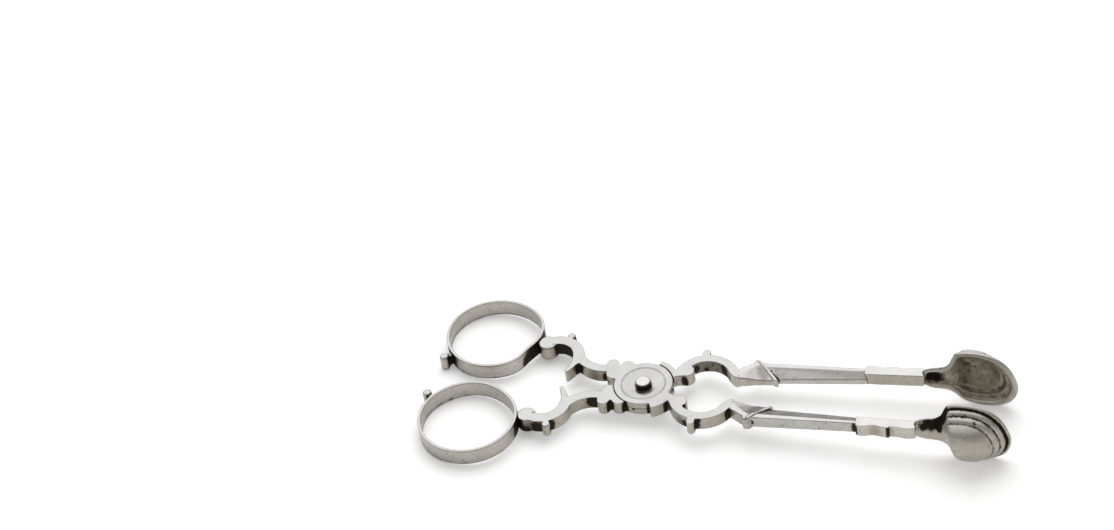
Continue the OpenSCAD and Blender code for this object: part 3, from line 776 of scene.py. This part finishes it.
# Each step of the wall carries its place along WALLS, to know lip, groove and hollow
steps = worn_row([(*wall, place) for place, wall in enumerate(WALLS)], WALL_WEAR)
for arm, side in RING_SIDE.items():
    neck_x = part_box(f"{arm}_socket")[1].x / MM
    low, high = (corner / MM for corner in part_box(f"{arm}_bowl"))
    rim_y = min(abs(low.y), abs(high.y))
    u, w, g = rim.T
    goal = np.stack([
        (1 - g) * np.clip(u, *NECK_SPAN) + g * BOWL_MIDDLE[0],
        (1 - g) * NECK_MIDDLE + g * BOWL_MIDDLE[1],
    ])
    heel = fall(u, *HEEL_ALONG) * fall(w, *HEEL_UP)
    points, place = [], []
    for bowl_in, bowl_down, neck_in, neck_down, along in steps:
        share = (1 - g) * neck_in + g * bowl_in
        depth = (1 - g) * neck_down * NECK_DEPTH + g * bowl_down * BOWL_DEPTH
        x = neck_x + (1 - share) * u + share * goal[0] - HEEL_LEAN * g * depth * heel
        x -= NECK_LET_IN * fall(u, 0, NECK_ENDS) * fall(along, LIP - NECK_OUTSIDE, LIP)
        z = (1 - share) * w + share * goal[1]
        points.append(np.stack([x, -side * (rim_y + depth), z], 1))
        place.append(np.full(count, along))
    points, place = np.concatenate(points), np.concatenate(place)
    faces = [
        (
            row * count + i,
            row * count + (i + 1) % count,
            (row + 1) * count + (i + 1) % count,
            (row + 1) * count + i,
        )
        for row in range(len(steps) - 1)
        for i in range(count)
    ]
    # Strips across the middle of the outside and of the inside close the shell
    last = (len(steps) - 1) * count
    for i in range(count // 2):
        strip = (i, i + 1, count - i - 1, (count - i) % count)
        faces.append(tuple(dict.fromkeys(strip[::-1])))
        faces.append(tuple(dict.fromkeys(last + k for k in strip)))
    if side == 1:
        faces = [face[::-1] for face in faces]
    bowl = mesh_piece(f"{arm}_scoop", points, faces)

    on_bowl = np.tile(g, len(steps))
    faint = np.interp(points[:, 2], FAINT_BELOW, FAINT_SHARE)
    lines = [dark * stripe(place - line, width) for line, dark, width in OUTSIDE_LINES]
    outside = np.max(lines, 0) * faint * on_bowl
    # Painted shade in the neck's recess, and pits
    outside = np.maximum(outside, gathered(points, OUTSIDE_SHADE_AND_PITS, -side))
    hollow = 1 - fall(place, HOLLOW_FROM, HOLLOW_FULL)
    line, dark, width = INSIDE_LINE
    inside = np.maximum(HOLLOW_SHARE * hollow, dark * stripe(place - line, width) * on_bowl)
    inside = np.maximum(inside, INSIDE_SHARE * gathered(points, INSIDE_BLACK, -side))
    mark(bowl, "black", np.where(place < LIP, outside, inside))
    mark(bowl, "dull_and_shade", hollow)
    # A painted glint in the heel
    mark(bowl, "painted_highlight", HEEL_GLINT_SHARE * gathered(points, HEEL_GLINT, -side) * (place > LIP))
    fit(bowl, arm, f"{arm}_bowl", bowl_silver)

# Pivot rivet. A plain pin, headed like a button in the upper disc and hammered
# over a burr under the lower one. Its wall round the head is painted near black as shade.
RIVET_FLAT = (0.95, 0.945, 0.93)
RIVET_SHADED_WALL = (0.075, 0.065, 0.052)
# Painted shade: all of the rivet is black but for the crowns of its two heads, this high
RIVET_SHADE, CROWN = 0.9, 0.45

rivet_silver = silver("rivet_silver", RIVET_FLAT, RIVET_SHADED_WALL, pits=0, reach=0.9)
rivet = casting("rivet_pin", "pivot_rivet", grain=0.08, wear=5, swell=0.03)
at = points_of(rivet.data)
# Painted shade: black all over but the crowns
mark(rivet, "black", RIVET_SHADE * (np.abs(at[:, 2]) < at[:, 2].max() - CROWN))
fit(rivet, "upper", "pivot_rivet", rivet_silver)

# Table. The nippers lie on white paper and touch it with the finger rings and the
# bowls' rims, so the paper slopes a little against the flat of the scrollwork.
PAPER_WHITE = (0.93, 0.93, 0.93)
PAPER_FIBRE = (0.955, 0.955, 0.955)
# Fibres to the metre, the sheet's half length, and how far it is lit up where it is seen
FIBRES = 900
PAPER_REACH = 3000
PAPER_LIFT = 0.24
# The bowl's rim touches the paper this far in from its tip
RIM_TOUCH = 6.2

ring_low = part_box("upper_finger_ring")[0] / MM
bowl_low, bowl_high = (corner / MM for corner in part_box("lower_bowl"))
under_ring = Vector((ring_low.x, 0, ring_low.z))
under_bowl = Vector((bowl_high.x - RIM_TOUCH, 0, bowl_low.z))
downhill = (under_bowl - under_ring).normalized()
corners = [
    under_ring + downhill * along * PAPER_REACH + Vector((0, across * PAPER_REACH, 0))
    for along, across in ((-1, -1), (1, -1), (1, 1), (-1, 1))
]
paper = mesh_piece("paper", corners, [(0, 1, 2, 3)])
paper_white, tree, shader = new_material("paper_white")
shader.inputs["Roughness"].default_value = 0.9
shader.inputs["Specular IOR Level"].default_value = 0.1
fibre = tree.nodes.new("ShaderNodeTexNoise")
fibre.inputs["Scale"].default_value = FIBRES
white = mixed(tree, fibre.outputs["Fac"], PAPER_WHITE, PAPER_FIBRE)
tree.links.new(white, shader.inputs["Base Color"])
# Seen straight or in the silver, the paper is a shade whiter than the light on it
rays = tree.nodes.new("ShaderNodeLightPath")
seen = sums(tree, "MAXIMUM", rays.outputs["Is Camera Ray"], rays.outputs["Is Glossy Ray"])
seen = sums(tree, "MAXIMUM", seen, rays.outputs["Is Transmission Ray"])
shader.inputs["Emission Color"].default_value = (1, 1, 1, 1)
tree.links.new(sums(tree, "MULTIPLY", seen, PAPER_LIFT), shader.inputs["Emission Strength"])
paper.data.materials.append(paper_white)

# Light. A white tent that is dim round the table's edge and bright behind the nippers,
# so that the tops shine and the edges darken, and one wide soft lamp above and behind
# them, so that their shadow falls towards the viewer.
TENT_EDGE = 0.06
TENT_TOP = 0.42
# Heights between which the dim edge gives way to the top
TENT_CLEARS = (0.05, 0.50)
# The brighter patch: its brightness, its direction and how near that it starts
TENT_GLOW = 0.46
GLOW_FROM = Vector((-0.24, 0.73, 0.64))
GLOW_EDGE = 0.3
# The lamp's place and size in metres, and its power in watts
LAMP_AT = Vector((0.02, 0.26, 0.46))
LAMP_SIZE = 0.46
LAMP_POWER = 1.35

tent = bpy.data.worlds.new("tent")
bpy.context.scene.world = tent
tent.use_nodes = True
tree = tent.node_tree
view_out = tree.nodes.new("ShaderNodeTexCoord").outputs["Generated"]
height_up = tree.nodes.new("ShaderNodeSeparateXYZ")
tree.links.new(view_out, height_up.inputs[0])
towards = tree.nodes.new("ShaderNodeVectorMath")
towards.operation = "DOT_PRODUCT"
tree.links.new(view_out, towards.inputs[0])
towards.inputs[1].default_value = GLOW_FROM
clear = between(tree, height_up.outputs["Z"], *TENT_CLEARS)
glow = between(tree, towards.outputs["Value"], GLOW_EDGE, 1)
glow = sums(tree, "MULTIPLY", glow, TENT_GLOW)
glow = sums(tree, "MULTIPLY", clear, sums(tree, "ADD", glow, TENT_TOP))
tree.links.new(sums(tree, "ADD", glow, TENT_EDGE), tree.nodes["Background"].inputs["Strength"])
tree.nodes["Background"].inputs["Color"].default_value = (1, 1, 1, 1)
lamp = bpy.data.lights.new("soft_lamp", "AREA")
lamp.size = LAMP_SIZE
lamp.energy = LAMP_POWER
soft_lamp = bpy.data.objects.new("soft_lamp", lamp)
soft_lamp.location = LAMP_AT
soft_lamp.visible_glossy = False
soft_lamp.rotation_mode = "QUATERNION"
soft_lamp.rotation_quaternion = (-LAMP_AT).to_track_quat("-Z", "Y")
bpy.context.scene.collection.objects.link(soft_lamp)
bpy.context.scene.view_settings.view_transform = "Standard"

# Camera. It looks down across the nippers, a little from the bowls' end, at the
# photographed angle; angles, distance and lens were fitted to the two arms.
AZIMUTH, ELEVATION, ROLL = (math.radians(angle) for angle in (18.46, 40.83, -9.78))
DISTANCE = 642.7
TARGET = Vector((-27.01, 37.56, 0))
FOCAL_WIDTHS = 2.5812

across = Vector((math.cos(AZIMUTH), math.sin(AZIMUTH), 0))
level = math.cos(ELEVATION)
back = Vector((math.sin(AZIMUTH) * level, -math.cos(AZIMUTH) * level, math.sin(ELEVATION)))
upright = back.cross(across)
right = across * math.cos(ROLL) + upright * math.sin(ROLL)
up = upright * math.cos(ROLL) - across * math.sin(ROLL)
lens = bpy.data.cameras.new("camera")
lens.lens = FOCAL_WIDTHS * lens.sensor_width
lens.clip_start = 0.05
camera = bpy.data.objects.new("camera", lens)
turned = Matrix((right, up, back)).transposed().to_4x4()
camera.matrix_world = Matrix.Translation((TARGET + back * DISTANCE) * MM) @ turned
bpy.context.scene.collection.objects.link(camera)
bpy.context.scene.camera = camera
